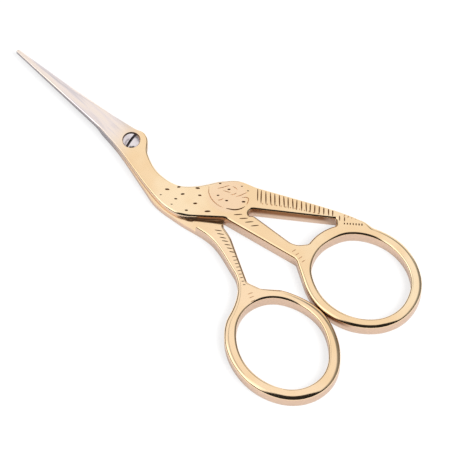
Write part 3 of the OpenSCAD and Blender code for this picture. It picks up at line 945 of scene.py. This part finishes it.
# Pivot screw: a section turned about its axis, with the slot cut out
rimTop = headTop - screw["rimDrop"]
domeR = (screw["headRadius"] ** 2 + screw["domeHeight"] ** 2) / (2 * screw["domeHeight"])
domeTop = rimTop + screw["domeHeight"]
domeTurn = math.asin(screw["headRadius"] / domeR)
section = [(0, jointZ - headHalf), (screw["thread"], jointZ - headHalf), (screw["thread"], plateZ),
           (screw["shank"], plateZ), (screw["shank"], seatZ), (screw["headRadius"], seatZ)]
section += [(screw["headRadius"] - screw["rim"] * (1 - math.cos(a)),
             rimTop - screw["rim"] + screw["rim"] * math.sin(a)) for a in np.linspace(0, 1.1, 4)]
section += [(domeR * math.sin(a), domeTop - domeR * (1 - math.cos(a)))
            for a in np.linspace(domeTurn * 0.95, 0, 12)]
turns = 96
verts = [(r * math.cos(a), r * math.sin(a), z) for r, z in section[1:-1]
         for a in np.linspace(0, 2 * math.pi, turns, endpoint=False)]
verts += [(0, 0, section[0][1]), (0, 0, section[-1][1])]
rows = len(section) - 2
last = (rows - 1) * turns
faces = [f for r in range(rows - 1) for f in ringFaces(r * turns, (r + 1) * turns, turns)]
faces += [((i + 1) % turns, i, rows * turns) for i in range(turns)]
faces += [(last + i, last + (i + 1) % turns, rows * turns + 1) for i in range(turns)]
pivotScrew = meshPiece("pivotScrew", verts, faces)
pivotScrew.data.materials.append(screwSteel)
slotTurn = math.radians(screw["slotTurn"])
slotAlong = spot(math.cos(slotTurn), math.sin(slotTurn))
slotSide = spot(-slotAlong[1], slotAlong[0]) * screw["slotWidth"] / 2
slotEnds = [tuple(slotAlong * s * 4 + slotSide * t) for s, t in ((-1, -1), (1, -1), (1, 1), (-1, 1))]
slotCut = prism("slotCut", slotEnds, domeTop - screw["slotDepth"], above)
slotCut.data.materials.append(slotShade)
cutAway(pivotScrew, [slotCut])
finishPiece(pivotScrew, "back", "pivot_screw", 25)

# Studio
studio = {"azimuth": -43.5, "elevation": 62.5, "distance": 0.9546, "lookAt": (0.0002, -0.01009, 0),
          "lens": 320, "sensor": 36, "lampSize": 0.5, "lampPower": 7, "lampDistance": 0.9,
          "floorWhite": 1.04, "floorSeen": 0.66, "floorMirrored": 0.3, "floorDrop": 0.00003, "fill": 0.8}
azimuth, elevation = math.radians(studio["azimuth"]), math.radians(studio["elevation"])
toCamera = Vector((math.sin(azimuth) * math.cos(elevation), -math.cos(azimuth) * math.cos(elevation),
                   math.sin(elevation)))
camera = bpy.data.objects.new("camera", bpy.data.cameras.new("camera"))
camera.data.lens, camera.data.sensor_width = studio["lens"], studio["sensor"]
camera.data.clip_start, camera.data.clip_end = 0.05, 20
camera.location = Vector(studio["lookAt"]) + toCamera * studio["distance"]
camera.rotation_mode = "QUATERNION"
camera.rotation_quaternion = (-toCamera).to_track_quat("-Z", "Y")
scene.collection.objects.link(camera)
scene.camera = camera

floor = meshPiece("floor", [(-3, -3, 0), (3, -3, 0), (3, 3, 0), (-3, 3, 0)], [(0, 1, 2, 3)])
floor.location.z = -studio["floorDrop"]
floorPaper, bench = newMaterial("floorPaper")
paper = bench.node("ShaderNodeBsdfDiffuse", sockets={"Color": (0.86, 0.86, 0.87, 1)})
glow = bench.node("ShaderNodeEmission", sockets={"Color": (1, 1, 1, 1), "Strength": studio["floorWhite"]})
seen = bench.node("ShaderNodeLightPath", out="Is Camera Ray")
white = seen * studio["floorSeen"] + seen.also("Is Glossy Ray") * studio["floorMirrored"]
paperSeen = bench.node("ShaderNodeMixShader", sockets={0: white, 1: paper, 2: glow})
bench.node("ShaderNodeOutputMaterial", sockets={"Surface": paperSeen})
floor.data.materials.append(floorPaper)

world = bpy.data.worlds.new("studio")
scene.world = world
world.use_nodes = True
bench = Bench(world.node_tree)
way = bench.node("ShaderNodeTexCoord", out="Generated")
flatCamera = Vector((toCamera.x, toCamera.y, 0)).normalized()
flatRight = Vector((-flatCamera.y, flatCamera.x, 0))


def towards(direction):
    return bench.node("ShaderNodeVectorMath", {"operation": "DOT_PRODUCT"}, {0: way, 1: direction},
                      out="Value")


# What the polished faces mirror: a white tent with darker and brighter cards, each given by its turn from
# the camera's side, how soft its sides are, its height, how soft its ends are, and its change to the light
cards = {
    "shine": (-112, -50, 8, 27, 45, 4, 0.7),
    "legShine": (-82, -50, 4, 38, 68, 4, 0.35),
    "tan": (-160, -86, 6, 51, 60, 2, -0.45),
    "leftHorizon": (-160, -45, 6, -99, 23, 3, -0.6),
    "overCard": (-45, 55, 3, 16, 78, 3, -0.98),
    "lowCard": (-60, 64, 4, 8, 33, 3, -0.96),
    "sideCard": (50, 140, 8, -5, 46, 10, -0.75),
    "edgeCard": (140, 166, 6, 20, 44, 5, -0.7),
    "horizon": (-199, 140, 3, -99, 14, 3, -0.85),
    "horizonEnd": (172, 199, 3, -99, 14, 3, -0.85),
    "backPatch": (-140, -118, 5, 8, 19, 3, -0.7),
}
up, right = towards(Vector((0, 0, 1))), towards(flatRight)
height = bench.maths("ARCSINE", up) * (180 / math.pi)
turn = bench.maths("ARCTAN2", right, towards(flatCamera)) * (180 / math.pi)
light = 1
for turnFrom, turnTo, turnSoft, heightFrom, heightTo, heightSoft, change in cards.values():
    acrossCard = bench.window(turn, turnFrom, turnTo, turnSoft)
    light = light * (1 + acrossCard * bench.window(height, heightFrom, heightTo, heightSoft) * change)
cameraRay = bench.node("ShaderNodeLightPath", out="Is Camera Ray")
glossyRay = cameraRay.also("Is Glossy Ray")
strength = cameraRay + (1 - cameraRay) * (glossyRay * light + (1 - glossyRay) * studio["fill"])
sky = bench.node("ShaderNodeBackground", sockets={"Color": (1, 1, 1, 1), "Strength": strength})
bench.node("ShaderNodeOutputWorld", sockets={"Surface": sky})

lamp = bpy.data.objects.new("softKey", bpy.data.lights.new("softKey", "AREA"))
lamp.data.shape, lamp.data.size, lamp.data.energy = "DISK", studio["lampSize"], studio["lampPower"]
lampWay = (flatRight * 0.6 + flatCamera * 0.45 + Vector((0, 0, 1.0))).normalized()
lamp.location = lampWay * studio["lampDistance"]
lamp.rotation_mode = "QUATERNION"
lamp.rotation_quaternion = (-lampWay).to_track_quat("-Z", "Y")
lamp.visible_glossy = False
scene.collection.objects.link(lamp)
scene.view_settings.view_transform = "Standard"
print("studio set")
